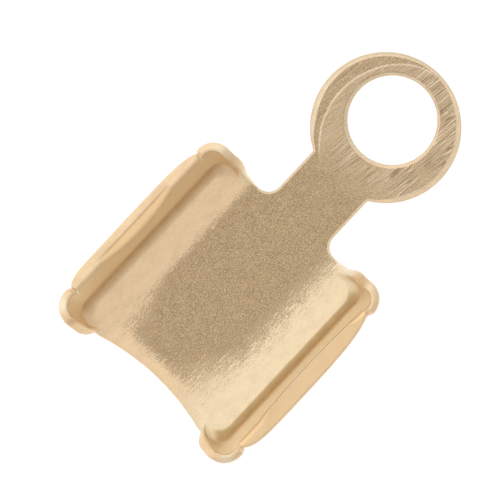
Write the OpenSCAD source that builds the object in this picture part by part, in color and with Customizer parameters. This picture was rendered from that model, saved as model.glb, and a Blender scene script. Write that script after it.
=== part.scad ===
// Chain end for a rhinestone cup chain. One piece of thin brass sheet: a shallow tray that takes the
// cup of the last stone, a flat neck, and an eye for a jump ring.
// X runs from the tray to the eye, Y runs across the tray and Z points up, out of the tray.
// The origin is on the underside, at the middle of the eye's hole.

/* [Sheet] */
// Thickness of the sheet
sheet_t = 0.2; // [0.16:0.01:0.24]
// Inside radius of the fold between the floor and a wall
fold_r = 0.2; // [0.15:0.01:0.25]

/* [Eye] */
// Diameter of the hole for the jump ring
hole_d = 2; // [1.6:0.1:2.2]
// Outside diameter of the eye
eye_d = 3.4; // [3.2:0.05:3.8]
// How far the eye's outline is set back from the hole, towards the tray
eye_setback = 0.22; // [0:0.01:0.3]

/* [Neck] */
// Width of the neck
neck_w = 1.64; // [1.2:0.02:1.8]
// Radius of the fillet between the neck and the tray
neck_fillet = 0.33; // [0.2:0.01:0.4]

/* [Tray] */
// Distance from the middle of the hole to the tray's end at the neck
back_edge = 3.13; // [3:0.01:3.2]
// Distance from the middle of the hole to the tray's open end, on the axis
front_edge = 7.73; // [7.5:0.01:7.8]
// Depth of the hollow arc in the open end, from the axis to the ears
front_sag = 0.24; // [0.1:0.01:0.3]
// Distance from the middle of the hole to where the back ears' fold starts
back_fold = 3.39; // [3.3:0.01:3.5]
// Distance from the middle of the hole to where the front ears' fold starts
front_fold = 7.74; // [7.6:0.01:7.8]
// Half of the width of the flat seat, between the rising bands
seat_half = 1.27; // [1:0.01:1.4]
// Angle at which the bands beside the seat rise
band_rise = 8; // [4:0.5:10]
// Distance from the axis to where the side walls' fold starts
side_fold = 1.95; // [1.85:0.01:2.05]
// Inside radius of the tray's corners, seen from above
corner_r = 0.3; // [0.2:0.01:0.35]

/* [Walls] */
// Height of the ears' rim above the underside
wall_h = 1.11; // [0.95:0.01:1.25]
// How far the side walls lean out
side_lean = 25; // [15:1:28]
// How far the front ears' end walls lean out
front_lean = 7; // [3:0.5:12]
// How far the back ears' end walls lean out
back_lean = 2; // [1:0.5:6]
// Distance from the axis to where the ears end
ear_start = 1.6; // [1.55:0.01:1.7]
// Angle at which the foot of a front ear slants out
front_slant = 37; // [25:1:45]
// Angle at which the foot of a back ear slants out
back_slant = 21; // [10:1:30]
// Radius of the sweep in which an ear's rim falls to the floor
sweep_r = 0.6; // [0.5:0.01:0.65]

/* [Lip] */
// Distance from the middle of the hole to the ear beside the lip's near end
lip_near = 3.56; // [3.5:0.01:3.7]
// Distance from the middle of the hole to the ear beside the lip's far end
lip_far = 7.67; // [7.5:0.01:7.7]
// Width of the nick between the lip and an ear
nick_w = 0.07; // [0.04:0.01:0.1]
// Height at which a wall's inner face starts to bend out into its lip
lip_low = 0.9; // [0.8:0.01:0.95]
// Angle at which the outer part of a lip still rises
lip_rise = 20; // [10:1:30]
// Distance from the axis to a lip's edge, halfway along it
lip_reach = 2.77; // [2.7:0.01:2.82]
// How much less far a lip reaches at its ends
lip_bow = 0.12; // [0.05:0.01:0.15]

/* [Hidden] */
$fn = 64;
brass = "#d8ba8a";
// Steps round one corner of the lofted blocks
corner_steps = 6;
// Angles round the fold at which the lofted blocks have a section
fold_angles = [0, 16, 32, 48, 65, 76, 88];
// Height to which the walls are made before the rim is cut
block_top = 1.5;
// How far a cutting shape reaches past what it cuts
past = 1;
// How far past the folds the bands run, to end inside the walls, and the radius of their corners
band_end_x = 0.24;
band_end_y = 0.24;
band_corner_r = 0.42;
// Where the back edge of the seat meets the foot of a back ear
back_foot_x = 3.1;
// Where the sweep of an ear's rim is steepest, and how low it comes
sweep_y = 2.05 - sweep_r;
sweep_z = 0.38 + sweep_r;
// Radius of the hollow arc in the open end
front_arc_r = (ear_start * ear_start + front_sag * front_sag) / (2 * front_sag);
// Radius of a lip's bend, on its inner face
lip_r = sheet_t + 0.02;
lip_steps = 5;
// The lips' middle along X, half their length, and the radius of their bowed edge
lip_mid = -(lip_near + lip_far) / 2;
lip_half = (lip_far - lip_near) / 2 - nick_w;
lip_bow_r = (lip_half * lip_half + lip_bow * lip_bow) / (2 * lip_bow);
// Facets of the eye, of the hole, and of the long arcs in the open end and the lips
eye_fn = 128;
hole_fn = 96;
arc_fn = 200;

// Horizontal run of a fold of radius r, and of the wall above it, up to height h
function fold_run(h, r, lean) =
    let (turn = acos(max(1 - h / r, sin(lean))))
    r * sin(turn) + max(0, h - r * (1 - sin(lean))) * tan(lean);

// Outline of the tray at height h above its floor, for the face that lies off from the inner face
function tray_outline(h, off) =
    let (
        r = fold_r + off,
        y = side_fold + fold_run(h, r, side_lean),
        x_front = -front_fold - fold_run(h, r, front_lean),
        x_back = -back_fold + fold_run(h, r, back_lean),
        c = corner_r + off,
        centres = [[x_back - c, y - c], [x_front + c, y - c], [x_front + c, c - y], [x_back - c, c - y]]
    )
    [for (k = [0:3]) for (s = [0:corner_steps])
        let (turn = 90 * (k + s / corner_steps))
        centres[k] + c * [cos(turn), sin(turn)]];

// The tray as a solid block, bounded by the face that lies off from the inner face
module tray_block(off, top) {
    base = sheet_t - off;
    heights = concat([for (a = fold_angles) (fold_r + off) * (1 - cos(a))], [top - base]);
    outlines = [for (h = heights) tray_outline(h, off)];
    n = len(outlines[0]);
    last = len(heights) - 1;
    points = [for (i = [0:last]) for (p = outlines[i]) [p.x, p.y, base + heights[i]]];
    floor_face = [for (j = [0:n - 1]) j];
    top_face = [for (j = [0:n - 1]) (last + 1) * n - 1 - j];
    side_faces = [for (i = [0:last - 1]) for (j = [0:n - 1])
        let (a = i * n + j, b = i * n + (j + 1) % n)
        for (face = [[a, a + n, b], [b, a + n, b + n]]) face];
    polyhedron(points, concat([floor_face, top_face], side_faces), convexity = 4);
}

// A profile drawn in Y and Z, run along X between two places
module run_along_x(x0, x1) {
    translate([x0, 0, 0]) rotate([90, 0, 90]) linear_extrude(x1 - x0) children();
}

// Both halves of something that is drawn on the +Y side
module both_sides() {
    children();
    mirror([0, 1, 0]) children();
}

// Seen from above: the flat sheet of the eye, the neck and the seat, without the hole
module flat_outline() {
    translate([-eye_setback, 0]) circle(d = eye_d, $fn = eye_fn);
    translate([-back_edge, -neck_w / 2]) square([back_edge - eye_d / 2, neck_w]);
    both_sides() difference() {
        translate([-back_edge - fold_r, 0]) square([fold_r + neck_fillet, neck_w / 2 + neck_fillet]);
        translate([neck_fillet - back_edge, neck_w / 2 + neck_fillet]) circle(r = neck_fillet);
    }
    difference() {
        translate([-front_edge - front_sag, -ear_start])
            square([front_edge + front_sag - back_edge, 2 * ear_start]);
        translate([-front_edge - front_arc_r, 0]) circle(r = front_arc_r, $fn = arc_fn);
    }
}

// How far a side wall's inner face is from the axis at height z
function wall_y(z) = side_fold + fold_run(z - sheet_t, fold_r, side_lean);

// What lies above a rim at height z, drawn in Y and Z: the rim is square to the side wall
module above_rim(z) {
    polygon([
        [0, z], [wall_y(z), z], [wall_y(z) + past, z - past * tan(side_lean)],
        [wall_y(z) + past, block_top + past], [0, block_top + past]
    ]);
}

// A lip's section in Y and Z, from the top of the side wall to past its edge
module lip_section() {
    wall_rise = 90 - side_lean;
    middle = [wall_y(lip_low), lip_low] + lip_r * [sin(wall_rise), -cos(wall_rise)];
    bend = [for (i = [0:lip_steps])
        let (rise = wall_rise + (lip_rise - wall_rise) * i / lip_steps)
        middle + lip_r * [-sin(rise), cos(rise)]];
    run = past * [cos(lip_rise), sin(lip_rise)];
    under = (lip_r - sheet_t) / lip_r;
    polygon(concat(
        bend,
        [bend[lip_steps] + run],
        [middle + under * (bend[lip_steps] - middle) + run],
        [middle + under * (bend[lip_steps] - middle)],
        [middle + under * (bend[0] - middle)]
    ));
}

// The two lips, bowed along their edges
module lips() {
    both_sides() intersection() {
        run_along_x(lip_mid - lip_half, lip_mid + lip_half) lip_section();
        translate([lip_mid, lip_reach - lip_bow_r, 0])
            cylinder(r = lip_bow_r, h = block_top + past, $fn = arc_fn);
    }
}

// The opening between two ears, drawn in Y and Z, round at its foot
module between_ears() {
    translate([0, sweep_z]) square([sweep_y + sweep_r, block_top]);
    translate([0, sweep_z - sweep_r]) square([sweep_y, sweep_r + past]);
    translate([sweep_y, sweep_z]) circle(r = sweep_r);
}

// The smooth band beside the seat, drawn in Y and Z, from the floor to its rising top
module band_top() {
    end_y = side_fold + band_end_y;
    polygon([[seat_half, sheet_t], [end_y, sheet_t + (end_y - seat_half) * tan(band_rise)], [end_y, sheet_t]]);
}

// Seen from above: where the bands may lie, which ends inside the walls' thickness
module band_outline() {
    x0 = -front_fold - band_end_x;
    x1 = band_end_x - back_fold;
    y = side_fold + band_end_y;
    r = band_corner_r;
    difference() {
        union() {
            translate([x0, r - y]) square([x1 - x0, 2 * (y - r)]);
            translate([x0 + r, -y]) square([x1 - x0 - 2 * r, 2 * y]);
            for (x = [x0 + r, x1 - r]) for (side = [-1, 1]) translate([x, side * (y - r)]) circle(r = r);
        }
        translate([x0 - past, -ear_start]) square([x1 - x0 + 2 * past, 2 * ear_start]);
    }
}

// What the rising band leaves open under the tray, drawn in Y and Z
module under_band() {
    start = seat_half + sheet_t * tan(band_rise / 2);
    polygon([[start, 0], [start + past, past * tan(band_rise)], [start + past, -past], [start, -past]]);
}

// Seen from above: what the slanting feet of a front ear and a back ear leave out
module slanting_feet() {
    translate([-front_edge - front_sag, ear_start]) rotate(90 + front_slant) square(past);
    translate([-back_foot_x, ear_start]) rotate(-back_slant) square(past);
}

// The tray's walls and ears, with the rim cut and the ends open between the ears
module walls() {
    difference() {
        tray_block(sheet_t, block_top);
        tray_block(0, block_top + past);
        for (x = [-front_fold - past, -back_fold]) translate([x, -ear_start, -past])
            cube([past, 2 * ear_start, block_top + 2 * past]);
        both_sides() {
            run_along_x(-front_fold - past, past - back_fold) above_rim(wall_h);
            run_along_x(-lip_far, -lip_near) above_rim(lip_low);
            run_along_x(-front_fold - past, past - back_fold) between_ears();
            linear_extrude(block_top + past) slanting_feet();
        }
    }
}

// The whole piece
module chain_end() {
    color(brass) difference() {
        union() {
            linear_extrude(sheet_t) flat_outline();
            walls();
            lips();
            both_sides() intersection() {
                run_along_x(-front_fold - past, past - back_fold) band_top();
                linear_extrude(past) union() {
                    flat_outline();
                    band_outline();
                }
            }
        }
        both_sides() run_along_x(-front_fold - past, past - back_fold) under_band();
        translate([0, 0, -past]) cylinder(d = hole_d, h = 2 * past, $fn = hole_fn);
    }
}

chain_end();
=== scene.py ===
"""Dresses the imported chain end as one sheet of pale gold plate, and sets its stage.

The sheet is drawn up in edit mode: the flat of the tray, the neck and the eye is laid out first, its
outline is extruded up the walls, over the rim and down the outside, and the underside closes it.
Properties are in metres. The functions that work out shapes use millimetres.
"""

import math
from functools import partial
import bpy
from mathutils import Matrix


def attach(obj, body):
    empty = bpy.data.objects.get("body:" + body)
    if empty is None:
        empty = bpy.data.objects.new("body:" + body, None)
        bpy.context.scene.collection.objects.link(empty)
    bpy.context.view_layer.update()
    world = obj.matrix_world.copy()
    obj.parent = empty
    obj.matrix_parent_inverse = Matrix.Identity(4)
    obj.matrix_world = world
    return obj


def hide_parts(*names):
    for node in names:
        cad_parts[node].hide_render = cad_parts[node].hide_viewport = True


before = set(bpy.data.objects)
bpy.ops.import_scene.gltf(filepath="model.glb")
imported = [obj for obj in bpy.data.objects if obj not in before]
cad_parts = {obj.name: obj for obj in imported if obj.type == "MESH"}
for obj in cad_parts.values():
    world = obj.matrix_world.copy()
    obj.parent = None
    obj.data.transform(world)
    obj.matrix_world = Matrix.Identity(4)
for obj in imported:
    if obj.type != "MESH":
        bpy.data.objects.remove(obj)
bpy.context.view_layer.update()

from types import SimpleNamespace

import bmesh
import bpy
import numpy as np
from mathutils import Matrix, Vector

bl_info = {
    "name": "Rhinestone chain end",
    "version": (1, 0, 0),
    "blender": (4, 5, 0),
    "location": "View3D > Sidebar > Chain end",
    "description": "Builds the pressed sheet, its plated finish and the stage",
    "category": "Object",
}

MM = 0.001
NODE = "chain_end"
PIECE = "chain_end_sheet"
MERGE_GAP = 2e-7
START_GAP = 1e-3


def length(name, description, default):
    """A length property, its default given in millimetres."""
    return bpy.props.FloatProperty(
        name=name, description=description, default=default * MM, unit="LENGTH", precision=6)


def turn(name, description, default):
    """An angle property, its default given in degrees."""
    return bpy.props.FloatProperty(
        name=name, description=description, default=math.radians(default), subtype="ANGLE")


def colour(name, description, default):
    """A colour property without alpha."""
    return bpy.props.FloatVectorProperty(
        name=name, description=description, default=default, subtype="COLOR", size=3, min=0, max=1)


def amount(name, description, default):
    """A plain number property."""
    return bpy.props.FloatProperty(name=name, description=description, default=default)


class SheetSizes(bpy.types.PropertyGroup):
    """Sizes of the pressed sheet."""

    sheet_t: length("Sheet", "Thickness of the sheet", 0.2)
    hole_r: length("Hole", "Radius of the hole for the jump ring", 1.0)
    eye_r: length("Eye", "Outside radius of the eye", 1.682)
    eye_setback: length("Eye setback", "How far the eye's outline is set back from the hole", 0.22)
    neck_half: length("Neck", "Half of the neck's width", 0.82)
    neck_fillet: length("Neck fillet", "Radius of the fillet between the neck and the tray", 0.33)
    eye_fillet: length("Eye fillet", "Radius where the neck meets the eye", 0.08)
    back_edge: length("Back edge", "From the hole to the tray's end at the neck", 3.13)
    front_edge: length("Front edge", "From the hole to the open end, on the axis", 7.745)
    front_sag: length("Hollow", "Depth of the hollow arc in the open end", 0.24)
    back_fold: length("Back fold", "From the hole to the fold of the back ears", 3.38)
    front_fold: length("Front fold", "From the hole to the fold of the front ears", 7.75)
    side_fold: length("Side fold", "From the axis to the fold of the side walls", 1.977)
    side_fold_r: length("Side fold radius", "Inside radius of the side walls' folds", 0.3)
    fold_r: length("Ear fold radius", "Inside radius of the ears' folds", 0.2)
    corner_r: length("Floor corner", "Radius of the fold line in the tray's corners, seen from above", 0.36)
    rim_corner_r: length("Rim corner", "Inside radius of the rim in the tray's corners", 0.3)
    seat_half: length("Seat", "Half of the width of the flat seat", 1.27)
    seat_blend: length("Seat blend", "Width over which the seat turns into the bands", 0.12)
    ear_start: length("Ear start", "From the axis to where the ears start", 1.6)
    ear_foot: length("Front ear foot", "From the axis to where the open end starts to fan out", 1.485)
    ear_low: length("Front ear low", "From the axis to where a front ear starts to turn up", 1.52)
    ear_up: length("Front ear up", "From the axis to where a front ear stands upright", 1.60)
    back_foot: length("Back ear foot", "From the axis to where a back ear starts to turn up", 1.18)
    back_up: length("Back ear up", "From the axis to where a back ear stands upright", 1.57)
    wall_h: length("Ear height", "Height of the ears' rim above the underside", 1.11)
    nick_drop: length("Nick depth", "How far the rim falls in the nicks beside a lip", 0.05)
    sweep_y: length("Sweep across", "From the axis to where an ear's rim starts to rise", 1.45)
    sweep_z: length("Sweep height", "Height of an ear's rim at its start", 0.36)
    sweep_w: length("Sweep", "Width over which an ear's rim rises", 0.44)
    lip_low: length("Lens height", "Height of the +Y wall's bend in the middle of its lip", 0.787)
    ridge_low: length("Ridge height", "Height of the -Y wall's bend in the middle of its lip", 0.83)
    lip_high: length("Lip end height", "Height of the +Y wall's bend at the ends of its lip", 1.04)
    lip_r: length("Lip bend", "Radius of the bend in the middle of a lip, on its inner face", 0.10)
    ridge_r: length("Ridge bend", "Radius of the bend in the middle of the -Y lip", 0.035)
    lip_end_r: length("Lip end bend", "Radius of the bend at the ends of the +Y lip", 0.08)
    ridge_high: length("Ridge end height", "Height of the -Y wall's bend at the ends of its lip", 0.945)
    ridge_end_r: length("Ridge end bend", "Radius of the bend at the ends of the -Y lip", 0.11)
    lip_reach: length("Lip reach", "From the axis to a lip's edge", 2.785)
    lens_mid: length("Lens middle", "From the hole to the middle of the lens on the +Y lip", 5.6)
    lens_half: length("Lens", "Half of the length of the lens on the +Y lip", 1.15)
    ridge_mid: length("Ridge middle", "From the hole to the middle of the ridge on the -Y lip", 5.3)
    ridge_half: length("Ridge", "Half of the length of the ridge on the -Y lip", 1.6)
    groove_y: length("Groove", "From the axis to the groove on the +Y lip", 2.587)
    lip_near: length("Lip near", "From the hole to the ear beside the lip's near end", 3.49)
    lip_far: length("Lip far", "From the hole to the ear beside the lip's far end", 7.62)
    nick_w: length("Nick", "Width of the nick between a lip and an ear", 0.05)


class SheetAngles(bpy.types.PropertyGroup):
    """Angles of the pressed sheet."""

    band_rise: turn("Band rise", "Rise of the bands beside the seat", 8)
    side_rise: turn("Side wall", "Rise of the side walls from the floor", 65)
    front_rise: turn("Front ears", "Rise of the front ears from the floor", 83)
    back_rise: turn("Back ears", "Rise of the back ears from the floor", 88)
    lip_rise: turn("Lip", "Rise of the -Y lip and of the +Y lip's ends", -8)
    lens_rise: turn("Lens", "Rise of the lens on the +Y lip", 5)


class PlateFinish(bpy.types.PropertyGroup):
    """Colours and depths of the gold plate."""

    smooth: colour("Smooth plate", "Colour of the smooth bands, walls and edges", (0.93, 0.70, 0.44))
    # The frosted colour is darker partly for the frost itself and partly as painted shade for the frost's
    # micro-shadowing.
    frosted: colour("Frosted plate", "Colour of the frosted seat, neck and eye", (0.552, 0.403, 0.241))
    peach: colour("Peach tint", "Colour of broad patches of the smooth plate", (0.94, 0.68, 0.44))
    # The pale colour is painted light: the -Y side of the floor is painted lighter where it faces the key
    # light.
    pale: colour("Pale plate", "Colour of the smooth plate on the -Y side of the floor", (0.93, 0.76, 0.51))
    # The wall colours are painted light: lighter and less saturated than the smooth plate, with a copy for
    # each side, for the light the walls catch.
    wall: colour("Wall plate", "Colour of the +Y wall's smooth plate", (1.0, 0.86, 0.62))
    low_wall: colour("Low wall plate", "Colour of the -Y wall's smooth plate", (0.98, 0.87, 0.68))
    lens: colour("Lens", "Colour of the facets on the lips", (1.0, 0.72, 0.405))
    crease: colour("Crease", "What is left of the light in the deepest creases", (0.54, 0.42, 0.265))
    edge: colour("Edges", "Colour of the cut edges", (0.92, 0.74, 0.53))
    # The -Y edge colour is painted light: lighter than the other edges, for the light those edges catch.
    low_edge: colour("Low edges", "Colour of the cut edges on the -Y side", (1.0, 0.785, 0.535))
    smooth_roughness: amount("Smooth roughness", "Roughness of the smooth plate", 0.48)
    frosted_roughness: amount("Frosted roughness", "Roughness of the frosted plate", 0.55)
    grain_depth: length("Grain depth", "Depth of the frosted grain", 0.013)
    streak_depth: length("Streak depth", "Depth of the drawing streaks", 0.006)
    scratch_depth: length("Scratch depth", "Depth of the scratches on the eye", 0.003)
    step_depth: length("Step depth", "Depth of the crescent step on the eye", 0.01)


class StageSizes(bpy.types.PropertyGroup):
    """Camera, floor and light."""

    image_turn: turn("Image turn", "How far the tray's axis is turned in the picture", 47)
    tilt: turn("Tilt", "How far the camera stands off the vertical", 3)
    distance: length("Distance", "From the camera to the piece", 150)
    view_width: length("View width", "Width of the picture at the piece", 11.11)
    centre_x: length("Centre along", "Where the picture's middle is, along the tray", -4.27)
    centre_y: length("Centre across", "Where the picture's middle is, across the tray", 0.34)
    floor_w: length("Floor", "Width of the floor", 600)
    floor_glow: amount("Floor light", "Light that comes up through the floor", 0.93)
    tent: amount("Tent", "Brightness of the light tent", 0.84)
    key: amount("Key", "How much brighter the tent is where the key light meets it", 0.22)
    key_turn: turn("Key turn", "How far the key light stands off the vertical, towards +Y", 22)
    slope: amount("Slope", "How much brighter the tent is on the +Y side, and how much dimmer on -Y", 0.24)


def in_mm(group):
    """The lengths of a property group in millimetres, under their own names."""
    return SimpleNamespace(**{name: getattr(group, name) / MM for name in group.__annotations__})


def plain(group):
    """The values of a property group under their own names."""
    return SimpleNamespace(**{name: getattr(group, name) for name in group.__annotations__})


# Shapes, in millimetres. The functions get the sizes as s, the angles as a and the outline as loop.

MARGIN = 0.25
FRONT_MARGIN = 0.22
EYE_FLAT_R = 1.12
NECK_STEPS = 22
EYE_STEPS = 150
EYE_RINGS = 10
CORNER_STEPS = 14
FOLD_ROWS = 7
FOLD_SHARE = 0.2
WALL_SHARE = 0.76
END_FOLD_SHARE = 0.31
WALL_ROWS = np.array([0.16, 0.32, 0.47, 0.6, 0.71, 0.8, 0.86, 0.91, 0.95, 0.98, 1.0])
LIP_ROWS = np.array([0.02, 0.04, 0.07, 0.11, 0.16, 0.23, 0.31, 0.39, 0.46, 0.52, 0.56, 0.6, 0.64, 0.68,
                     0.73, 0.79, 0.86, 0.93, 1.0])
EDGE_PARTS = np.arange(1, 7) / 6
OUTSIDE_ROWS = 15
RIM_SEARCHES = 30
RIM_SOFTENINGS = 12
RIM_SOFT_FROM = 0.35
# Row of the rim where the +Y front ear's painted shade starts
RIM_SHADE_ROW = 4
HOLE_DEPTH = 0.07
HOLE_ROLL = 0.045
HOLE_ROLL_MORE = 0.05
HOLE_FOOT = ((0.0, 0.02), (0.005, 0.005), (0.02, 0.0))
FLOOR_STEP = 0.001
RIM_STEP = 0.02
LEAST_LIP = 0.02
LEAST_WALL = 0.05
NICK_SOFT = 0.05
NICK_ROLL = 0.05

# Distances from the axis: where a front ear's columns move apart, and where a back ear's slow rise
# ends and its steep rise starts
FRONT_EAR_COLUMNS = 1.565
BACK_EAR_SLOW = 1.46
BACK_EAR_STEEP = 1.385
STEEP_SHARE = 0.75

# Pairs for the +Y and the -Y side. A lip's edge draws in by TAPER at its ends, over the next two lengths.
TAPER = (0.14, 0.20)
TAPER_FAR = (0.16, 0.22)
TAPER_NEAR = (0.35, 0.5)
# Painted shade in the creases and inside the ears, then painted light on the corner rims and painted shade
# on the +Y front ear's rim
CREASE_DARKNESS = (0.53, 0.92)
EAR_DARKNESS = (0.24, 0.36)
CORNER_LIGHT = (4.0, 2.4)
FRONT_RIM_SHADE = (0.17, 0)

GROOVE_DEPTH = 0.014
GROOVE_W = 0.02
GROOVE_DARK_W = 0.034
BURR_HEIGHT = 0.011

# Roll and depth of the sheet's cut edges, on its inner and on its outer face
EDGE_NAMES = ("roll_in", "depth_in", "roll_out", "depth_out")
OPEN_END_EDGE = (0.05, 0.06, 0.03, 0.03)
NECK_EDGE = (0.055, 0.07, 0.03, 0.03)
EAR_EDGE = (0.05, 0.07, 0.06, 0.08)
LIP_EDGE = (0.06, 0.07, 0.02, 0.04)
EYE_EDGE = (0.055, 0.13, 0.012, 0.015)

# What a column of the outline holds where its run says nothing else
COLUMN = dict(
    x=0, y=0, out_x=0, out_y=0, to_front=0, to_back=0, to_side=0, front=0, back=0, side=0, upright=1,
    slide_x=0, slide_y=0, margin=MARGIN, crisp=0, round_eye=0, **dict(zip(EDGE_NAMES, EAR_EDGE)))
# Marks carried by the vertices: crease is painted shade, wall is painted light, lens marks the lips' facets
MARKS = ("crease", "wall", "lens")


def ease(low, high, value):
    """Rises smoothly from 0 at low to 1 at high."""
    share = np.clip((value - low) / (high - low), 0.0, 1.0)
    return share * share * (3.0 - 2.0 * share)


def bell(value, middle, width):
    """1 at the middle, and falls smoothly to nothing on both sides."""
    return np.exp(-((value - middle) / width) ** 2)


def mix(first, second, share):
    """Goes from the first value to the second with the share."""
    return first + (second - first) * share


def spaced(*runs):
    """Places along a line: each run is where it ends and its number of steps, the first just its start."""
    places = [np.array([runs[0]], float)]
    for end, steps in runs[1:]:
        places.append(np.linspace(places[-1][-1], end, steps + 1)[1:])
    return np.concatenate(places)


def travelled(curve):
    """Share of a curve's length at each of its points."""
    steps = np.linalg.norm(np.diff(curve, axis=0), axis=1)
    places = np.concatenate([[0], np.cumsum(steps)])
    return places / places[-1]


def polar(angle):
    """Unit directions at the angles."""
    return np.cos(angle), np.sin(angle)


def points(*coordinates):
    """Puts coordinates together, each one number or an array."""
    return np.stack(np.broadcast_arrays(*coordinates), axis=-1)


def circle(r, angle, z):
    """Points round the hole's middle."""
    return points(r * np.cos(angle), r * np.sin(angle), z)


def top_height(s, a, x, y):
    """Height of the pressed floor: flat in the seat, rising in the bands."""
    over = np.abs(y) - s.seat_half
    rise = (np.sqrt(over ** 2 + s.seat_blend ** 2) + over) / 2
    return s.sheet_t + rise * math.tan(a.band_rise) * ease(-2.6, -3.1, x)


def floor_top(s, a, plan):
    """Points on the floor's top at the points of a plan."""
    x, y = plan[..., 0], plan[..., 1]
    return points(x, y, top_height(s, a, x, y))


def floor_underside(s, a, plan):
    """Points under the floor's top at the points of a plan, one sheet's thickness away."""
    x, y = plan[..., 0], plan[..., 1]
    step = FLOOR_STEP
    slope = (top_height(s, a, x, y + step) - top_height(s, a, x, y - step)) / (2 * step)
    tilt = np.arctan(slope)
    return points(x, y + s.sheet_t * np.sin(tilt), top_height(s, a, x, y) - s.sheet_t * np.cos(tilt))


def run_of(**values):
    """A run of outline columns: each value is one number or one number for each column."""
    filled = [np.asarray(value, float) for value in {**COLUMN, **values}.values()]
    return dict(zip(COLUMN, np.broadcast_arrays(*filled)))


def edge_sizes(first, second, share):
    """Roll and depth of the rim's edges, going from one kind of edge to another."""
    return {name: mix(low, high, share) for name, low, high in zip(EDGE_NAMES, first, second)}


def half_outline(s):
    """Columns round the +Y half of the fold line, from the open end's middle to the eye's far point."""
    corner_y = s.side_fold - s.corner_r
    tighter = s.corner_r - s.rim_corner_r
    fillet_x = s.neck_fillet - s.back_edge
    fillet_y = s.neck_half + s.neck_fillet
    fan = np.linspace(0, math.pi / 2, CORNER_STEPS + 1)
    turned = ease(0, math.pi / 2, fan)
    runs = []

    def fanned(y, foot, ear):
        share = np.clip((y - foot) / (corner_y - foot), 0, 1)
        return dict(to_side=share, slide_y=tighter * share, upright=ear,
                    **edge_sizes(OPEN_END_EDGE, EAR_EDGE, ear))

    y = spaced(0, (fillet_y, NECK_STEPS), (s.ear_foot, 5), (FRONT_EAR_COLUMNS, 8), (corner_y, 16))
    arc_r = (s.ear_start ** 2 + s.front_sag ** 2) / (2 * s.front_sag)
    sag = arc_r - np.sqrt(arc_r ** 2 - np.minimum(y, s.ear_start) ** 2)
    runs.append(run_of(x=-(s.front_edge + sag - FRONT_MARGIN), y=y, out_x=-1, to_front=1, front=1,
                       margin=FRONT_MARGIN, **fanned(y, s.ear_foot, ease(s.ear_low, s.ear_up, y))))

    def add_corner(fold, end, angle, **more):
        out_x, out_y = polar(angle)
        runs.append(run_of(
            x=s.corner_r * (out_x - end) - fold, y=corner_y + s.corner_r * out_y, out_x=out_x, out_y=out_y,
            to_side=1, slide_x=tighter * (end - out_x), slide_y=tighter * (1 - out_y), **more))

    add_corner(s.front_fold, -1, math.pi - fan, to_front=1, front=1 - turned, side=turned)
    start, end = s.corner_r - s.front_fold, -s.back_fold - s.corner_r
    x = spaced(start, (start + 0.16, 8), (start + 0.5, 10), (end - 0.5, 48), (end - 0.16, 10), (end, 8))
    along = (x - start) / (end - start)
    slide = tighter * (ease(end - 0.7, end, x) - ease(start + 0.7, start, x))
    runs.append(run_of(x=x, y=s.side_fold, out_y=1, to_front=1 - along, to_back=along, to_side=1,
                       side=1, slide_x=slide))
    add_corner(s.back_fold, 1, math.pi / 2 - fan, to_back=1, back=turned, side=1 - turned)
    y = spaced(corner_y, (s.back_up, 4), (BACK_EAR_STEEP, 17), (s.back_foot, 6), (fillet_y, 2))
    lift = mix(ease(s.back_foot, BACK_EAR_SLOW, y), ease(BACK_EAR_STEEP, s.back_up, y), STEEP_SHARE)
    runs.append(run_of(x=-s.back_fold, y=y, out_x=1, to_back=1, back=1, **fanned(y, s.back_foot, lift)))

    neck = dict(upright=0, crisp=1, **edge_sizes(NECK_EDGE, NECK_EDGE, 0))

    def add_flat(x, y, reach, out, **more):
        place = dict(x=x + reach * out[0], y=y + reach * out[1], out_x=out[0], out_y=out[1])
        runs.append(run_of(**{**neck, **place, **more}))

    add_flat(fillet_x, fillet_y, -s.neck_fillet - MARGIN, polar(np.linspace(0, math.pi / 2, 17)))
    corner_x = -s.eye_setback - math.sqrt(
        (s.eye_r + s.eye_fillet) ** 2 - (s.neck_half + s.eye_fillet) ** 2)
    add_flat(np.linspace(fillet_x, corner_x, 21), s.neck_half, -MARGIN, (0, 1))
    meet = math.atan2(s.neck_half + s.eye_fillet, -s.eye_setback - corner_x)
    add_flat(corner_x, s.neck_half + s.eye_fillet, -s.eye_fillet - MARGIN,
             polar(np.linspace(math.pi / 2, math.pi - meet, 10)))
    angle = np.linspace(math.pi - meet, 0, EYE_STEPS // 2 + 1)
    leave_neck = ease(math.pi - meet, math.pi - meet - 0.5, angle)
    add_flat(-s.eye_setback, 0, s.eye_r - MARGIN, polar(angle), round_eye=leave_neck,
             **edge_sizes(NECK_EDGE, EYE_EDGE, leave_neck))

    columns = {}
    for name in COLUMN:
        columns[name] = np.concatenate([runs[0][name]] + [run[name][1:] for run in runs[1:]])
    return columns, np.cumsum([len(run["x"]) - 1 for run in runs])


def eye_roll(angle):
    """Width of the rolled edge round the eye, narrowest at the far point."""
    return 0.14 - 0.06 * bell(angle, 0, 0.6) - 0.03 * bell(angle, 1.05, 0.5)


def whole_outline(s):
    """Columns round the whole fold line, the +Y half first and then its mirror image back."""
    half, counts = half_outline(s)
    loop = SimpleNamespace(**{name: np.concatenate([value, value[-2:0:-1]]) for name, value in half.items()})
    loop.upper = np.arange(len(loop.x)) < len(half["x"])
    loop.by_side = partial(np.where, loop.upper)
    loop.mirrored = loop.by_side(1, -1)
    loop.y = loop.y * loop.mirrored
    loop.out_y = loop.out_y * loop.mirrored
    loop.rise_share = np.where(loop.back > 0, loop.upright, np.sin(loop.upright * math.pi / 2))
    angle = np.arctan2(loop.y, loop.x + s.eye_setback)
    loop.roll_in = loop.roll_in + loop.round_eye * (eye_roll(angle) - NECK_EDGE[0])
    return loop, counts


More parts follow.
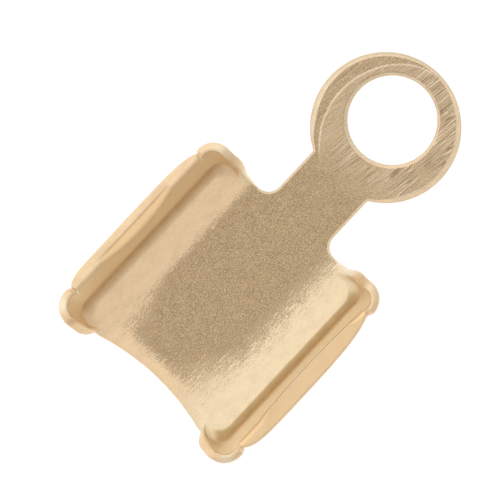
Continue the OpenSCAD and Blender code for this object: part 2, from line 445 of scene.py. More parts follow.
def bend(t, start, end, r):
    """Run, rise and angle after a length t of a sheet that bends from start to end, with r < 0 for down."""
    arc = np.minimum(t, r * (end - start))
    angle = np.where(r * (end - start) > 0, start + arc / r, start)
    rest = t - arc
    run = r * (np.sin(angle) - np.sin(start)) + rest * np.cos(end)
    rise = r * (np.cos(start) - np.cos(angle)) + rest * np.sin(end)
    return run, rise, angle


def length_to(height, start, end, r):
    """Length of such a sheet up to a height above its start, past its bend."""
    return r * (end - start) + (height - r * (np.cos(start) - np.cos(end))) / np.sin(end)


def stretched(share, fold_end, wall_end, whole):
    """Lengths along the wall at the shares of its rows."""
    low = share / FOLD_SHARE * fold_end
    middle = mix(fold_end, wall_end, (share - FOLD_SHARE) / (WALL_SHARE - FOLD_SHARE))
    high = mix(wall_end, whole, (share - WALL_SHARE) / (1 - WALL_SHARE))
    return np.where(share <= FOLD_SHARE, low, np.where(share <= WALL_SHARE, middle, high))


def plan_walls(s, a, loop):
    """Works out how long the sheet is above the fold line at each column, and where the lips are."""
    by_side = loop.by_side
    side_bend = (a.band_rise, a.side_rise, s.side_fold_r)
    front_bend = (0.0, a.front_rise, s.fold_r)
    back_bend = (0.0, a.back_rise, s.fold_r)
    loop.start_z = top_height(s, a, loop.x, loop.y)
    rim_rise = s.wall_h - loop.start_z
    full_side = length_to(rim_rise, *side_bend)
    full_front = length_to(rim_rise, *front_bend)
    full_back = length_to(rim_rise, *back_bend)

    # The rim's place along the tray tells which columns reach the lip
    front_run = bend(full_front, *front_bend)[0]
    back_run = bend(full_back, *back_bend)[0]
    rim_x = loop.x - loop.to_front * front_run + loop.to_back * back_run + loop.slide_x
    from_far = rim_x + s.lip_far
    from_near = -s.lip_near - rim_x
    inside = np.minimum(from_far, from_near)
    on_side = loop.side == 1
    loop.lip = on_side & (inside > s.nick_w)
    nick = bell(inside, s.nick_w / 2, NICK_SOFT) * (on_side & ~loop.lip)
    loop.roll_out = loop.roll_out + NICK_ROLL * nick
    loop.depth_out = loop.depth_out + NICK_ROLL * nick

    # A lip bends out lowest in its middle, so the wall below it ends in a bow
    from_middle = rim_x + by_side(s.lens_mid, s.ridge_mid)
    bow = np.clip(1 - (from_middle / by_side(s.lens_half, s.ridge_half)) ** 2, 0, 1)
    loop.lens = by_side(bow, 0)
    loop.ridge = by_side(0, bow)
    lip_z = mix(by_side(s.lip_high, s.ridge_high), by_side(s.lip_low, s.ridge_low), bow)
    loop.lip_start = length_to(lip_z - loop.start_z, *side_bend)
    loop.lip_r = mix(by_side(s.lip_end_r, s.ridge_end_r), by_side(s.lip_r, s.ridge_r),
                     by_side(bow, ease(0, 0.4, bow)))
    loop.lip_rise = mix(a.lip_rise, a.lens_rise, loop.lens)

    # Its edge draws in towards both ends, over a longer way on -Y
    far_gap = np.maximum(from_far - s.nick_w, 0) / by_side(*TAPER_FAR)
    near_gap = np.maximum(from_near - s.nick_w, 0) / by_side(*TAPER_NEAR)
    reach = s.lip_reach - by_side(*TAPER) * (np.exp(-far_gap) + np.exp(-near_gap))
    wall_reach = s.side_fold + bend(loop.lip_start, *side_bend)[0]
    bend_run = loop.lip_r * (math.sin(a.side_rise) - np.sin(loop.lip_rise))
    bend_length = loop.lip_r * (a.side_rise - loop.lip_rise)
    straight = np.maximum(reach - wall_reach - bend_run, LEAST_LIP) / np.cos(loop.lip_rise)
    lip_whole = loop.lip_start + bend_length + straight
    nick_whole = length_to(rim_rise - s.nick_drop * nick, *side_bend)

    # At the tray's ends the rim follows the sweep down, and reaches no further out than the ears do
    at_end = (loop.side == 0) & (loop.upright > 0)
    at_front = loop.front > loop.back
    full = np.where(at_front, full_front, full_back)
    end_rise = np.where(at_front, a.front_rise, a.back_rise) * loop.rise_share
    most_run = mix(loop.margin, np.where(at_front, front_run, back_run), loop.upright)
    ratio = full_side / full
    low = np.full(len(full), LEAST_WALL)
    high = full
    for _ in range(RIM_SEARCHES):
        middle = (low + high) / 2
        run, rise, _ = bend(middle, 0.0, end_rise, s.fold_r)
        out_y = np.abs(loop.y) + loop.to_side * bend(middle * ratio, *side_bend)[0] + loop.slide_y
        sweep = mix(s.sweep_z, s.wall_h, ease(0, s.sweep_w, out_y - s.sweep_y))
        over = (loop.start_z + rise > sweep) | (run > most_run)
        high = np.where(over, middle, high)
        low = np.where(over, low, middle)

    # The rim's height turns softly where it leaves the full height
    fall = np.where(at_end, high / full, 1.0)
    for _ in range(RIM_SOFTENINGS):
        softer = (np.roll(fall, 1) + 2 * fall + np.roll(fall, -1)) / 4
        fall = np.where(at_end & (fall > RIM_SOFT_FROM), softer, fall)

    def whole(end_length, other):
        return np.where(loop.upright == 0, loop.margin, np.where(at_end, end_length, other))

    side_whole = np.where(loop.lip, lip_whole, np.where(on_side, nick_whole, full_side))
    loop.side_whole = whole(fall * full_side, side_whole)
    loop.front_whole = whole(fall * full, full_front)
    loop.back_whole = whole(fall * full, full_back)


def wall_face(s, a, loop, share, trim):
    """Inner points and outward directions of the wall at the shares of its trimmed length."""
    share = np.asarray(share, float)[:, None]

    def lengths(whole, on_side=False, on_lip=False):
        end = whole - trim
        fold_end = np.where(on_side, s.side_fold_r, END_FOLD_SHARE * end)
        wall_end = np.where(on_lip, loop.lip_start, WALL_SHARE * end)
        return stretched(share, fold_end, wall_end, end)

    side_t = lengths(loop.side_whole, loop.side == 1, loop.lip)
    wall_t = np.where(loop.lip, np.minimum(side_t, loop.lip_start), side_t)
    side_run, side_rise, side_angle = bend(wall_t, a.band_rise, a.side_rise, s.side_fold_r)
    lip_run, lip_lift, lip_angle = bend(side_t - wall_t, a.side_rise, loop.lip_rise, -loop.lip_r)
    side_run = side_run + lip_run
    side_rise = side_rise + lip_lift
    side_angle = side_angle + lip_angle - a.side_rise
    front_t = lengths(loop.front_whole)
    back_t = lengths(loop.back_whole)
    front_run, front_rise, front_angle = bend(front_t, 0.0, a.front_rise * loop.rise_share, s.fold_r)
    back_run, back_rise, back_angle = bend(back_t, 0.0, a.back_rise * loop.rise_share, s.fold_r)

    # Flat edges of the neck and the eye run straight outwards
    run = np.where(loop.to_front + loop.to_back + loop.to_side == 0, front_t, 0.0)
    x = loop.x - loop.to_front * front_run + loop.to_back * back_run + loop.slide_x * share
    x = x + run * loop.out_x
    y = loop.y + loop.mirrored * (loop.to_side * side_run + loop.slide_y * share) + run * loop.out_y
    lift = loop.side * side_rise + loop.front * front_rise + loop.back * back_rise
    angle = loop.side * side_angle + loop.front * front_angle + loop.back * back_angle
    open_edge = np.where(loop.side == 0, 1 - loop.upright, 0)
    level = mix(loop.start_z, top_height(s, a, x, y), open_edge)
    outward = points(np.sin(angle) * loop.out_x, np.sin(angle) * loop.out_y, -np.cos(angle))
    return points(x, y, level + lift), outward


def fold_marks(loop, share):
    """How much painted shade each row gets in the crease of the fold, and how far it is up on the wall,
    where the walls' painted light goes.
    """
    share = share[:, None]
    # Painted shade along the crease of the fold
    middle = mix(0.09, 0.15, loop.side)
    left = bell(share, middle, np.where(share < middle, 0.125, 0.105))
    low = share < 0.085
    right = np.exp(-np.abs((share - 0.085) / np.where(low, 0.082, 0.100)) ** np.where(low, 5, 3))
    early = ~loop.upper & (loop.back == 0)
    turned = np.where(early, ease(0.0, 0.55, loop.side), ease(0.1, 0.9, loop.side))
    corner = np.where(loop.side + loop.front + loop.back > 0, mix(0.12, 1, turned), 0)
    crease = loop.by_side(left, right) * loop.by_side(*CREASE_DARKNESS) * loop.upright * corner

    # Painted shade darkens the faces inside the ears, the more so on -Y
    in_ear = bell(share, 0.30, 0.32) * (1 - ease(0.35, 1.0, loop.side)) * loop.upright
    crease = np.maximum(crease, in_ear * loop.by_side(*EAR_DARKNESS))
    top = np.where(loop.lip, ease(0.80, 0.72, share), ease(1.0, 0.94, share))
    return crease, ease(0.12, 0.26, share) * loop.upright * top


def lip_marks(s, loop, rows, share):
    """Presses the lips' tool marks into the rows, and gives their dark lines of painted shade, their facets
    and their bright lines of painted highlight.
    """
    place = ((share - WALL_SHARE) / (1 - WALL_SHARE))[:, None]
    below = ((share - FOLD_SHARE) / (WALL_SHARE - FOLD_SHARE))[:, None]
    x, y = rows[..., 0], rows[..., 1]
    near_groove = np.clip(1.15 - ((x + s.lens_mid) / s.lens_half) ** 4, 0, 1) * (place > 0.2)
    ridge = np.sqrt(loop.ridge)
    groove = bell(y, s.groove_y, GROOVE_W) * near_groove
    burr = bell(place, 0.05, 0.04) * ridge
    rows[..., 2] += loop.lip * (BURR_HEIGHT * burr - GROOVE_DEPTH * groove)

    # Painted shade: dark lines in the groove, under the burr and along the -Y lip's bend, and a little over
    # the facets
    dark = bell(y, s.groove_y, GROOVE_DARK_W) * near_groove
    under_burr = bell(below, 0.96, 0.045) * ease(0.1, 0.5, ridge)
    soft_bend = bell(place, 0.14, 0.17) * (1 - ridge) * (y < 0)
    facet = ease(0.02, 0.12, place) * ease(s.groove_y + 0.01, s.groove_y - 0.02, y) * ease(0, 0.1, loop.lens)
    line = 0.45 * dark + 0.68 * under_burr + 0.36 * soft_bend + 0.09 * facet
    strip = 0.8 * ease(0.09 * ridge - 0.01, 0.21 * ridge + 0.01, place) * (y < 0)
    # Painted highlight: a bright line under the -Y ridge, carried in the wall mark
    glint = 0.6 * bell(place, 0.075, 0.055) * ridge
    return loop.lip * line, loop.lip * (facet + strip), loop.lip * glint


def rim_rows(s, a, loop):
    """Rows of the outline's strip, from the fold line over the rim to the underside, and their marks."""
    for name, value in zip(EDGE_NAMES, LIP_EDGE):
        setattr(loop, name, np.where(loop.lip, value, getattr(loop, name)))
    share = np.concatenate([
        FOLD_SHARE * np.arange(1, FOLD_ROWS + 1) / FOLD_ROWS,
        mix(FOLD_SHARE, WALL_SHARE, WALL_ROWS), mix(WALL_SHARE, 1, LIP_ROWS)])
    inner = wall_face(s, a, loop, share, loop.roll_in)[0]
    crease, wall = fold_marks(loop, share)
    line, lens, glint = lip_marks(s, loop, inner, share)

    top, outward = wall_face(s, a, loop, [1.0], 0.0)
    up = top - wall_face(s, a, loop, [1.0], RIM_STEP)[0]
    up = up / np.linalg.norm(up, axis=-1, keepdims=True)
    rim = []

    def add_row(along, across):
        rim.append(top[0] + (up[0].T * along + outward[0].T * across).T)

    # The top edge is a quarter of an ellipse on the walls, and falls away at once round the neck and eye
    for part in EDGE_PARTS:
        quarter = part * math.pi / 2
        left = mix(1 - math.sin(quarter), 1 - part, loop.crisp)
        fallen = mix(1 - math.cos(quarter), part ** 1.5, loop.crisp)
        add_row(-loop.roll_in * left, loop.depth_in * fallen)
    for part in (0.33, 0.67):
        add_row(0, mix(loop.depth_in, s.sheet_t - loop.depth_out, part))
    for quarter in np.linspace(0, math.pi / 2, 5)[:-1]:
        left, across = polar(quarter)
        add_row(-loop.roll_out * (1 - left), s.sheet_t - loop.depth_out * (1 - across))

    face, away = wall_face(s, a, loop, np.linspace(1, 0, OUTSIDE_ROWS + 1), loop.roll_out)
    outer = face + s.sheet_t * away
    outer[-1] = floor_underside(s, a, points(loop.x, loop.y))
    rows = np.concatenate([inner, np.array(rim), outer])
    past_groove = np.maximum(rows[..., 1] - s.groove_y, 0)
    rows[..., 2] -= math.tan(a.lens_rise - a.lip_rise) * loop.lip * loop.lens * past_groove

    # The marks go on over the rim: painted light at the corners and the back ears, painted shade at the +Y
    # front ear
    def with_rim(mark, value, first=0):
        past = np.zeros((len(rows) - len(inner), len(loop.x)))
        past[first:len(rim)] = value
        return np.concatenate([mark, past])

    # Painted light on the rims of the corners and the back ears
    pale = loop.by_side(0.65, mix(0.15, 1, ease(1.0, 0.6, loop.upright))) * loop.back * (loop.upright > 0)
    pale = pale + loop.by_side(*CORNER_LIGHT) * loop.front * loop.side
    rim_shade = loop.by_side(*FRONT_RIM_SHADE) * loop.front ** 6
    return rows, {
        "crease": with_rim(np.maximum(crease, line), rim_shade, RIM_SHADE_ROW),
        "wall": with_rim(np.maximum(wall, glint), pale),
        "lens": with_rim(lens, 0)}


def coons(front, back, low, high):
    """A sheet of points between two curves across and two curves along, as [along, across]."""
    along = ((travelled(low) + travelled(high)) / 2)[:, None, None]
    across = ((travelled(front) + travelled(back)) / 2)[None, :, None]
    ruled = mix(front[None], back[None], along) + mix(low[:, None], high[:, None], across)
    return ruled - mix(mix(front[0], front[-1], across), mix(back[0], back[-1], across), along)


def neck_patch(line, meet, edge):
    """Points of the neck between its straight start and the eye's circle, as [along, across]."""
    along = travelled(edge)[:, None]
    side = np.linspace(-1, 1, len(line))[None, :]
    x = mix(line[None, :, 0], meet[None, :, 0], along)
    x = x + side ** 2 * (edge[:, None, 0] - x[:, -1:])
    across = mix(side, meet[None, :, 1] / meet[-1, 1], along)
    return points(x, across * edge[:, None, 1])


def flat_patches(s, loop, counts):
    """Plans of the tray's floor, the neck and the eye, each a grid of points, and the eye's angles."""
    half = counts[-1] + 1
    upper = points(loop.x[:half], loop.y[:half])
    lower = upper * [1, -1]
    corner_a = counts[0] + CORNER_STEPS // 2
    corner_b = counts[2] + CORNER_STEPS // 2
    neck_at, eye_at = counts[4], counts[7]

    front = np.concatenate([lower[corner_a:0:-1], upper[:corner_a + 1]])
    neck_x, neck_y = upper[neck_at]
    neck_line = points(neck_x, np.linspace(-neck_y, neck_y, 2 * NECK_STEPS + 1))
    back = np.concatenate([lower[corner_b:neck_at], neck_line, upper[corner_b:neck_at][::-1]])
    floor = coons(front, back, lower[corner_a:corner_b + 1], upper[corner_a:corner_b + 1])

    def eye_circle(angle):
        return (s.eye_r - MARGIN) * points(*polar(angle)) - [s.eye_setback, 0]

    reach = math.atan2(upper[eye_at, 1], -(upper[eye_at, 0] + s.eye_setback))
    angle = np.linspace(math.pi + reach, math.pi - reach, 2 * NECK_STEPS + 1)
    neck = neck_patch(neck_line, eye_circle(angle), upper[neck_at:eye_at + 1])

    # The eye's columns go from the neck's -Y corner along the neck to +Y, then round the far point to -Y
    rest = np.linspace(math.pi - reach, reach - math.pi, EYE_STEPS + 1)[1:]
    around = np.concatenate([angle, rest])
    share = np.linspace(0, 1, EYE_RINGS + 1)[:, None, None]
    eye = mix(eye_circle(around)[None], EYE_FLAT_R * points(*polar(around))[None], share)
    return floor, neck, eye, around[:-1]


def hole_rows(s, around):
    """Rows of the hole's edge, from the flat top through the hole to the flat underside."""
    roll = HOLE_ROLL + HOLE_ROLL_MORE * (1 - np.cos(around)) / 2
    rows = [(s.hole_r + roll, s.sheet_t)]
    rows += [(s.hole_r + roll * (1 - part), s.sheet_t - HOLE_DEPTH * part ** 1.25) for part in EDGE_PARTS]
    rows += [(s.hole_r + out, z) for out, z in HOLE_FOOT]
    rows += [(EYE_FLAT_R, 0.0)]
    return [circle(r, around, z) for r, z in rows]


# Modelling steps

def nothing_selected():
    """Leaves edit mode, and object mode's selection empty."""
    if bpy.context.object is not None and bpy.context.object.mode != "OBJECT":
        bpy.ops.object.mode_set(mode="OBJECT")
    bpy.ops.object.select_all(action="DESELECT")


def open_edit(sheet, action):
    """Opens the sheet alone in edit mode, with all or nothing of it selected."""
    nothing_selected()
    sheet.select_set(True)
    bpy.context.view_layer.objects.active = sheet
    bpy.ops.object.mode_set(mode="EDIT")
    bpy.ops.mesh.select_all(action=action)


def close_edit():
    """Leaves edit mode with nothing selected in it."""
    bpy.ops.mesh.select_all(action="DESELECT")
    bpy.ops.object.mode_set(mode="OBJECT")


def grid_patch(name, plan):
    """Adds a grid primitive with one vertex for each point and lays it out on them."""
    nothing_selected()
    rows, columns = plan.shape[:2]
    bpy.ops.mesh.primitive_grid_add(x_subdivisions=columns - 1, y_subdivisions=rows - 1, size=1)
    patch = bpy.context.object
    patch.name = name
    start = np.array([vertex.co for vertex in patch.data.vertices]) + 0.5
    column = np.rint(start[:, 0] * (columns - 1)).astype(int)
    row = np.rint(start[:, 1] * (rows - 1)).astype(int)
    patch.data.vertices.foreach_set("co", (plan[row, column] * MM).ravel())
    patch.data.update()
    return patch


def fused(name, patches):
    """Joins the patches and merges their shared borders."""
    nothing_selected()
    for patch in patches:
        patch.select_set(True)
    bpy.context.view_layer.objects.active = patches[0]
    bpy.ops.object.join()
    whole = bpy.context.object
    whole.name = name
    open_edit(whole, "SELECT")
    bpy.ops.mesh.remove_doubles(threshold=MERGE_GAP)
    close_edit()
    return whole


def extrude_rows(sheet, start, rows, marks):
    """Extrudes the edge loop that lies on the start points, row after row, and notes the rows' marks."""
    open_edit(sheet, "DESELECT")
    bpy.ops.mesh.select_mode(type="EDGE")
    mesh = bmesh.from_edit_mesh(sheet.data)
    columns = mesh.verts.layers.int.get("column") or mesh.verts.layers.int.new("column")
    for vertex in mesh.verts:
        vertex[columns] = -1
        if vertex.is_boundary:
            gaps = np.abs(start - np.array(vertex.co) / MM).sum(axis=1)
            column = int(gaps.argmin())
            vertex[columns] = column if gaps[column] < START_GAP else -1
    for edge in mesh.edges:
        edge.select_set(edge.is_boundary and all(vertex[columns] >= 0 for vertex in edge.verts))
    for name in MARKS:
        if name not in mesh.verts.layers.float:
            mesh.verts.layers.float.new(name)
    bmesh.update_edit_mesh(sheet.data)
    for number, row in enumerate(rows):
        bpy.ops.mesh.extrude_edges_move()
        mesh = bmesh.from_edit_mesh(sheet.data)
        columns = mesh.verts.layers.int["column"]
        mark_layers = {name: mesh.verts.layers.float[name] for name in marks}
        for vertex in mesh.verts:
            if vertex.select:
                column = vertex[columns]
                vertex.co = Vector(row[column]) * MM
                for name, layer in mark_layers.items():
                    vertex[layer] = marks[name][number][column]
        bmesh.update_edit_mesh(sheet.data)
    close_edit()


def finish_sheet(sheet):
    """Turns the closed sheet's faces outwards and shades them smooth."""
    open_edit(sheet, "SELECT")
    bpy.ops.mesh.normals_make_consistent(inside=False)
    close_edit()
    bpy.ops.object.shade_smooth()
    sheet.data.attributes.remove(sheet.data.attributes["column"])


# Materials

def add_node(tree, kind, inputs=None, **settings):
    """Adds a node, sets its properties, and links or sets its inputs."""
    made = tree.nodes.new(kind)
    for name, value in settings.items():
        setattr(made, name, value)
    for name, value in (inputs or {}).items():
        socket = made.inputs[name]
        if isinstance(value, Value):
            value = value.socket
        if isinstance(value, bpy.types.NodeSocket):
            tree.links.new(value, socket)
        elif socket.type == "RGBA" and len(value) == 3:
            socket.default_value = (*value, 1)
        else:
            socket.default_value = value
    return made


def calc(tree, operation, *values):
    """A Math node's result."""
    return results(tree, "ShaderNodeMath", dict(enumerate(values)), operation=operation)[0]


def results(tree, kind, inputs=None, **settings):
    """Adds a node and gives its outputs."""
    return [Value(tree, socket) for socket in add_node(tree, kind, inputs, **settings).outputs]


class Value:
    """A node's result, so that sums and products of such results are written as formulas."""

    def __init__(self, tree, socket):
        self.tree = tree
        self.socket = socket

    def __add__(self, other):
        return calc(self.tree, "ADD", self, other)

    def __sub__(self, other):
        return calc(self.tree, "SUBTRACT", self, other)

    def __rsub__(self, other):
        return calc(self.tree, "SUBTRACT", other, self)

    def __mul__(self, other):
        return calc(self.tree, "MULTIPLY", self, other)

    def __truediv__(self, other):
        return calc(self.tree, "DIVIDE", self, other)

    def __pow__(self, other):
        return calc(self.tree, "POWER", self, other)

    def __abs__(self):
        return calc(self.tree, "ABSOLUTE", self)

    def greatest(self, other):
        """The greater of the two."""
        return calc(self.tree, "MAXIMUM", self, other)

    def clamped(self):
        """The Math node's result, kept between 0 and 1."""
        self.socket.node.use_clamp = True
        return self

    def ramp(self, low, high):
        """0 below low and 1 above high, smooth between."""
        return results(self.tree, "ShaderNodeMapRange", {0: self, 1: low, 2: high, 3: 0.0, 4: 1.0},
                       interpolation_type="SMOOTHSTEP")[0]

    def blend(self, first, second):
        """Mixes two numbers by this share."""
        return results(self.tree, "ShaderNodeMix", {0: self, 2: first, 3: second}, data_type="FLOAT")[0]

    def tint(self, first, second, kind="MIX"):
        """Mixes two colours by this share."""
        return add_node(self.tree, "ShaderNodeMix", {0: self, 6: first, 7: second},
                        data_type="RGBA", blend_type=kind).outputs[2]


def stretched_noise(tree, place, stretch, scale, detail=2.0, roughness=0.5, spin=0.0):
    """Noise in millimetres, stretched along X and turned about Z."""
    turned = results(tree, "ShaderNodeVectorRotate", {"Vector": place, "Angle": spin},
                     rotation_type="Z_AXIS")
    scaled = results(tree, "ShaderNodeVectorMath", {0: turned[0], 1: stretch}, operation="MULTIPLY")
    return results(tree, "ShaderNodeTexNoise", {
        "Vector": scaled[0], "Scale": scale, "Detail": detail, "Roughness": roughness})[0]


def marks_group():
    """Surface marks in millimetres of place: fine grain, drawing streaks, broad patches, pits and mottle."""
    group = bpy.data.node_groups.new("Plate marks", "ShaderNodeTree")
    group.interface.new_socket("Place", in_out="INPUT", socket_type="NodeSocketVector")
    place = group.nodes.new("NodeGroupInput").outputs["Place"]
    found = {
        "Grain": stretched_noise(group, place, (0.85, 1, 1), 41.0),
        "Streaks": stretched_noise(group, place, (3.2, 26, 1), 1.0, 3.0, 0.6),
        "Patches": stretched_noise(group, place, (1, 1, 1), 0.8),
        "Pits": results(group, "ShaderNodeTexVoronoi", {"Vector": place, "Scale": 5.5})[0].ramp(0.10, 0.04),
        "Mottle": stretched_noise(group, place, (0.7, 1, 1), 5.0)}
    for name in found:
        group.interface.new_socket(name, in_out="OUTPUT", socket_type="NodeSocketFloat")
    add_node(group, "NodeGroupOutput", found)
    return group


# Where the plate's finish changes, in millimetres and degrees. The step is the crescent on the eye: its
# middle, its radius, how much wider it gets towards +X and towards the neck, and where that starts.
SEAT_UPPER = dict(half=1.30, narrower=0.36, soft=0.11, softer=0.22)
SEAT_LOWER = dict(half=1.10, narrower=0.66, soft=0.27, softer=0.20)
OPEN_END = -7.37
OPEN_END_SOFT = 0.13
BESIDE_SEAT = (1.28, 1.20)
STEP_MIDDLE = (-0.10, -0.15)
STEP_R = 1.38
STEP_WIDER = 0.095
STEP_WIDER_AT_NECK = 0.377
STEP_TURN = 63.0
STEP_SPAN = 89.0
SCRATCH_TURN = math.radians(9)
DARK_GRAIN = 0.68
LIGHT_GRAIN = 1.34


def plate_material(finish):
    """Pale gold plate: frosted where the punch pressed it flat, smooth on the bands, walls and edges."""
    material = bpy.data.materials.new("pale_gold_plate")
    material.use_nodes = True
    tree = material.node_tree
    tree.nodes.clear()
    coords = tree.nodes.new("ShaderNodeTexCoord").outputs
    place = results(tree, "ShaderNodeVectorMath", {0: coords["Object"], "Scale": 1 / MM},
                    operation="SCALE")[0]
    x, y, z = results(tree, "ShaderNodeSeparateXYZ", {0: place})
    upward = abs(results(tree, "ShaderNodeSeparateXYZ", {0: coords["Normal"]})[2])
    grain, streaks, patches, pits, mottle = results(
        tree, "ShaderNodeGroup", {"Place": place}, node_tree=marks_group())
    found = [add_node(tree, "ShaderNodeAttribute", attribute_name=name) for name in MARKS]
    crease, wall_light, on_lens = (Value(tree, node.outputs["Fac"]) for node in found)

    # The frosted seat has a ragged edge on each side, softer on -Y, and narrows towards the open end
    ragged = (streaks - 0.5) * 4.5 + (grain - 0.5) * 5.0
    narrowing = x.ramp(-5.8, -7.5)

    def seat_side(along, half, narrower, soft, softer):
        gap = (narrowing * -narrower + half - along) / (narrowing * softer + soft)
        return (gap + ragged).ramp(-1.0, 1.0)

    open_end = (x - OPEN_END) / OPEN_END_SOFT + ragged
    in_seat = seat_side(y, **SEAT_UPPER) * seat_side(y * -1.0, **SEAT_LOWER) * open_end.ramp(-1.0, 1.0)
    between_ears = abs(y).ramp(*BESIDE_SEAT).greatest(x.ramp(-2.6, -2.5))
    level = upward.ramp(0.93, 0.975)
    frosted = in_seat.greatest(x.ramp(-3.3, -3.1) * between_ears) * level * z.ramp(0.36, 0.29)

    # The eye has a crescent step, level inside it and granular outside
    from_x, from_y = x - STEP_MIDDLE[0], y - STEP_MIDDLE[1]
    from_middle = calc(tree, "SQRT", from_x ** 2.0 + from_y ** 2.0)
    round_it = calc(tree, "ARCTAN2", from_y, from_x) * (180 / math.pi)
    step_r = ((round_it - STEP_TURN) / STEP_SPAN).clamped() ** 1.9 * STEP_WIDER_AT_NECK + STEP_R
    past_step = from_middle - step_r - round_it.ramp(STEP_TURN, 5.0) * STEP_WIDER + (streaks - 0.5) * 0.05
    near_step = round_it.ramp(-28.0, 0.0) * round_it.ramp(158.0, 145.0)
    outside_step = past_step.ramp(0.0, 0.035) * near_step
    inside_step = past_step.ramp(0.0, -0.035) * near_step
    on_step = (near_step - outside_step - inside_step).clamped()

    # The eye's scratches run nearly along the tray, and are fewer on +Y
    on_eye = x.ramp(-2.1, -1.2)
    lines = stretched_noise(tree, place, (0.75, 26, 1), 1.0, 1.0, spin=SCRATCH_TURN)
    line_up = lines.ramp(0.40, 0.47) - lines.ramp(0.47, 0.53)
    line_down = lines.ramp(0.47, 0.55) - lines.ramp(0.55, 0.62)
    fewer = y.ramp(0.1, 0.7) * -0.75 + 1.0
    scratched = on_eye * fewer * frosted * patches.ramp(0.30, 0.55) * x.ramp(-2.2, -0.7)
    scratches = (line_up - line_down) * 0.5 * scratched

    # Colours of the smooth plate, with painted light on the -Y floor, the walls, the corner rims, the -Y
    # edges and the seat's border, and painted shade on edge faces that turn down
    tone = (patches.ramp(0.40, 0.65) * 0.5).tint(finish.smooth, finish.peach)
    far_side = y.ramp(-0.4, -1.3)
    # Painted light: the -Y side of the floor and bands is painted paler, where it faces the key light.
    tone = (far_side * z.ramp(0.44, 0.36)).tint(tone, finish.pale)
    # Painted light: the walls, the bright line under the -Y ridge and the rims of the corners and back ears
    # take the lighter wall colours, one copy for each side
    tone = wall_light.tint(tone, far_side.tint(finish.wall, finish.low_wall))
    tone = on_lens.tint(tone, finish.lens)
    tone = (pits * 0.35).tint(tone, finish.frosted)
    off_tray = (1.0 - level) * x.ramp(-3.5, -3.1) * between_ears
    # The cut edges off the tray, with painted light making them lighter on -Y
    tone = off_tray.tint(tone, y.ramp(0.6, -0.9).tint(finish.edge, finish.low_edge))
    # Painted shade: edge faces that turn down are darkened towards the frosted colour.
    tone = (upward.ramp(0.80, 0.45) * off_tray * 0.4).tint(tone, finish.frosted)
    off_wall = wall_light.greatest(on_lens) * -0.8 + 1.0
    specks = grain.ramp(0.52, 0.34) * (off_tray * 0.20 + 0.24) * off_wall
    tone = specks.tint(tone, finish.frosted)
    tone = (mottle.ramp(0.60, 0.35) * 0.14 * off_wall).tint(tone, finish.frosted)

    # Colours of the frosted plate
    dark_frost = [DARK_GRAIN * value for value in finish.frosted]
    light_frost = [LIGHT_GRAIN * value for value in finish.frosted]
    frost = (grain.ramp(0.28, 0.72) + (mottle - 0.5) * 0.35).clamped().tint(dark_frost, light_frost)
    frost = (on_eye * (outside_step * -0.2 + 0.2)).tint(frost, finish.frosted)
    frost = (scratches * -2.0).clamped().tint(frost, dark_frost)
    # Painted highlight: the crescent step is lightened into a bright line.
    eye_light = on_eye * 0.27 + scratches * 1.9 + inside_step * 0.04 + on_step * grain.ramp(-0.1, 0.75)
    frost = (eye_light - outside_step * 0.16).clamped().tint(frost, finish.edge)
    tone = frosted.tint(tone, frost)
    # Painted highlight: at the seat's border the streaks are lightened with the wall colour, as glints.
    at_border = frosted * (1.0 - frosted) * 4.0
    tone = (at_border * streaks.ramp(0.50, 0.62) * 0.8).tint(tone, finish.wall)
    # Painted shade: the crease mark darkens the folds, the insides of the ears, the lips' dark lines and the
    # +Y front ear's rim, with a little grain
    tone = (crease * ((grain + streaks) * 0.25 + 0.75)).tint(tone, finish.crease, "MULTIPLY")

    # Heights in millimetres
    height = grain * (frosted + 0.12 + off_tray * 0.4) * (finish.grain_depth / MM)
    height += streaks * (frosted + 0.08) * (finish.streak_depth / MM)
    height += scratches * (finish.scratch_depth / MM)
    height -= outside_step * (finish.step_depth / MM)
    bump = add_node(tree, "ShaderNodeBump", {"Height": height, "Distance": MM, "Strength": 1.0})

    roughness = frosted.blend(finish.smooth_roughness, finish.frosted_roughness)
    shader = add_node(tree, "ShaderNodeBsdfPrincipled", {
        "Base Color": tone, "Metallic": 1.0, "Roughness": roughness, "Normal": bump.outputs[0]})
    add_node(tree, "ShaderNodeOutputMaterial", {"Surface": shader.outputs[0]})
    return material


# Operators

class CHAINEND_OT_sheet(bpy.types.Operator):
    """Draw up the pressed sheet of the chain end"""

    bl_idname = "chainend.sheet"
    bl_label = "Pressed sheet"

    def execute(self, context):
        s = in_mm(context.scene.sheet_sizes)
        a = plain(context.scene.sheet_angles)
        loop, counts = whole_outline(s)
        plan_walls(s, a, loop)
        *plans, around = flat_patches(s, loop, counts)
        sheet = fused(PIECE, [grid_patch("flat", floor_top(s, a, plan)) for plan in plans])
        extrude_rows(sheet, points(loop.x, loop.y, loop.start_z), *rim_rows(s, a, loop))
        extrude_rows(sheet, circle(EYE_FLAT_R, around, s.sheet_t), hole_rows(s, around), {})
        under = [grid_patch("underside", floor_underside(s, a, plan)) for plan in plans]
        sheet = fused(PIECE, [sheet] + under)
        finish_sheet(sheet)
        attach(sheet, "root")
        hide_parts(NODE)
        return {"FINISHED"}


class CHAINEND_OT_plating(bpy.types.Operator):
    """Give the sheet its gold plate"""

    bl_idname = "chainend.plating"
    bl_label = "Gold plate"

    def execute(self, context):
        material = plate_material(plain(context.scene.plate_finish))
        for plated in (bpy.data.objects[PIECE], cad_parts[NODE]):
            plated.data.materials.clear()
            plated.data.materials.append(material)
        return {"FINISHED"}


class CHAINEND_OT_stage(bpy.types.Operator):
    """Set the floor, the lights and the camera"""

    bl_idname = "chainend.stage"
    bl_label = "Stage"

    def execute(self, context):
        stage = plain(context.scene.stage_sizes)
        add_floor(stage)
        add_lights(stage)
        add_camera(stage)
        context.scene.view_settings.view_transform = "Standard"
        context.scene.view_settings.look = "None"
        return {"FINISHED"}


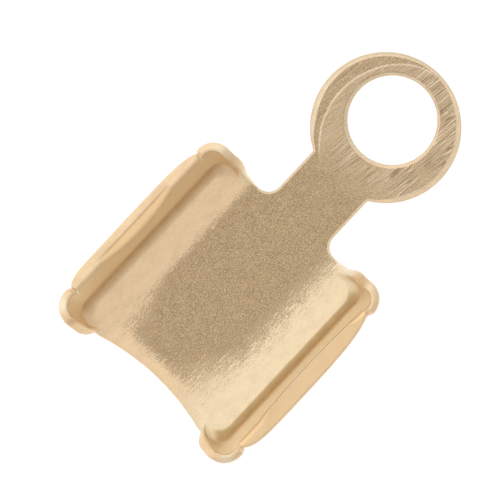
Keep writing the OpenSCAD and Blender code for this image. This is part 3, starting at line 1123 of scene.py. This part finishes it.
def add_floor(stage):
    """A white floor under the piece."""
    nothing_selected()
    bpy.ops.mesh.primitive_plane_add(size=stage.floor_w, location=(0, 0, 0))
    floor = bpy.context.object
    floor.name = "floor"
    material = bpy.data.materials.new("white_floor")
    material.use_nodes = True
    shader = material.node_tree.nodes["Principled BSDF"]
    look = {"Base Color": (0.15, 0.15, 0.15, 1), "Roughness": 0.9, "Specular IOR Level": 0.0,
            "Emission Color": (1, 1, 1, 1), "Emission Strength": stage.floor_glow}
    for name, value in look.items():
        shader.inputs[name].default_value = value
    floor.data.materials.append(material)


KEY_WIDTH = math.radians(38)


def add_lights(stage):
    """A light tent: a little brighter on +Y and where the key light meets it, and dimmer on -Y."""
    world = bpy.context.scene.world or bpy.data.worlds.new("World")
    bpy.context.scene.world = world
    world.use_nodes = True
    tree = world.node_tree
    tree.nodes.clear()
    direction = tree.nodes.new("ShaderNodeTexCoord").outputs["Generated"]
    _, side, height = results(tree, "ShaderNodeSeparateXYZ", {0: direction})
    key = (0, math.sin(stage.key_turn), math.cos(stage.key_turn))
    towards_key = results(tree, "ShaderNodeVectorMath", {0: direction, 1: key}, operation="DOT_PRODUCT")[1]
    near_key = towards_key.ramp(math.cos(KEY_WIDTH), 1.0)
    tent = near_key * stage.key + side * stage.slope + stage.tent
    strength = height.ramp(-0.02, 0.06).blend(1.0, tent)
    back = add_node(tree, "ShaderNodeBackground", {"Color": (1, 1, 1, 1), "Strength": strength})
    add_node(tree, "ShaderNodeOutputWorld", {"Surface": back.outputs[0]})


def add_camera(stage):
    """A distant camera almost straight above, turned as in the photograph."""
    data = bpy.data.cameras.new("camera")
    camera = bpy.data.objects.new("camera", data)
    bpy.context.collection.objects.link(camera)
    away = Vector((0, -math.sin(stage.tilt), math.cos(stage.tilt)))
    right = Vector((math.cos(stage.image_turn), -math.sin(stage.image_turn), 0))
    right = (right - right.dot(away) * away).normalized()
    up = away.cross(right)
    turned = Matrix((right, up, away)).transposed().to_4x4()
    middle = Vector((stage.centre_x, stage.centre_y, 0.2 * MM))
    camera.matrix_world = Matrix.Translation(middle + away * stage.distance) @ turned
    data.lens = data.sensor_width * stage.distance / stage.view_width
    data.clip_start = 0.001
    data.clip_end = 10
    bpy.context.scene.camera = camera


class CHAINEND_PT_panel(bpy.types.Panel):
    """Lists the steps that build the chain end."""

    bl_idname = "CHAINEND_PT_panel"
    bl_label = "Chain end"
    bl_space_type = "VIEW_3D"
    bl_region_type = "UI"
    bl_category = "Chain end"

    def draw(self, context):
        for step in STEPS:
            self.layout.operator(step)


STEPS = ("chainend.sheet", "chainend.plating", "chainend.stage")
GROUPS = {"sheet_sizes": SheetSizes, "sheet_angles": SheetAngles, "plate_finish": PlateFinish,
          "stage_sizes": StageSizes}
CLASSES = (*GROUPS.values(), CHAINEND_OT_sheet, CHAINEND_OT_plating, CHAINEND_OT_stage, CHAINEND_PT_panel)


def register():
    for item in CLASSES:
        bpy.utils.register_class(item)
    for name, group in GROUPS.items():
        setattr(bpy.types.Scene, name, bpy.props.PointerProperty(type=group))


def unregister():
    for name in GROUPS:
        delattr(bpy.types.Scene, name)
    for item in reversed(CLASSES):
        bpy.utils.unregister_class(item)


def main():
    """Builds everything."""
    register()
    bpy.ops.chainend.sheet()
    bpy.ops.chainend.plating()
    bpy.ops.chainend.stage()


if __name__ == "__main__":
    main()
